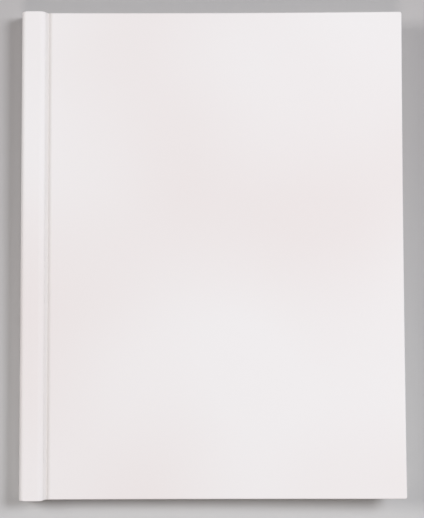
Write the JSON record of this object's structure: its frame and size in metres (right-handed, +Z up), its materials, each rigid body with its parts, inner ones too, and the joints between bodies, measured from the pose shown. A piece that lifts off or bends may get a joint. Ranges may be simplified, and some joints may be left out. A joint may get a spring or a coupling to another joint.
{
  "type": "lined notebook",
  "caption": "Case-bound notebook with a plain white covering, a grooved joint beside the spine, ruled leaves and two covers that open flat.",
  "frame": {"origin": "on the resting plane, under the middle of the closed book", "axes": "+X from the spine to the fore edge, +Y from the tail to the head, +Z up through the pages to the front cover"},
  "size_m": [0.224, 0.2866, 0.0152],
  "materials": {
    "covering": "satin",
    "pages": "matte",
    "endpaper": "matte",
    "greyboard": "matte",
    "lining_cloth": "matte",
    "band_cotton": "matte"
  },
  "bodies": {
    "book_block": {"text_block": "pages", "spine_lining": "lining_cloth", "head_band": "band_cotton", "tail_band": "band_cotton", "spine_board": "greyboard", "spine_wrap": "covering"},
    "front_cover": {"front_board": "greyboard", "front_cover_wrap": "covering", "front_pastedown": "endpaper"},
    "back_cover": {"back_board": "greyboard", "back_cover_wrap": "covering", "back_pastedown": "endpaper"}
  },
  "joints": [
    {"name": "front_cover_hinge", "type": "hinge", "parent": "book_block", "child": "front_cover", "pos_m": [-0.09565, 0, 0.0152], "axis": [0, -1, 0], "range_deg": [0, 179]},
    {"name": "back_cover_hinge", "type": "hinge", "parent": "book_block", "child": "back_cover", "pos_m": [-0.09565, 0, 0], "axis": [0, 1, 0], "range_deg": [0, 179]}
  ]
}
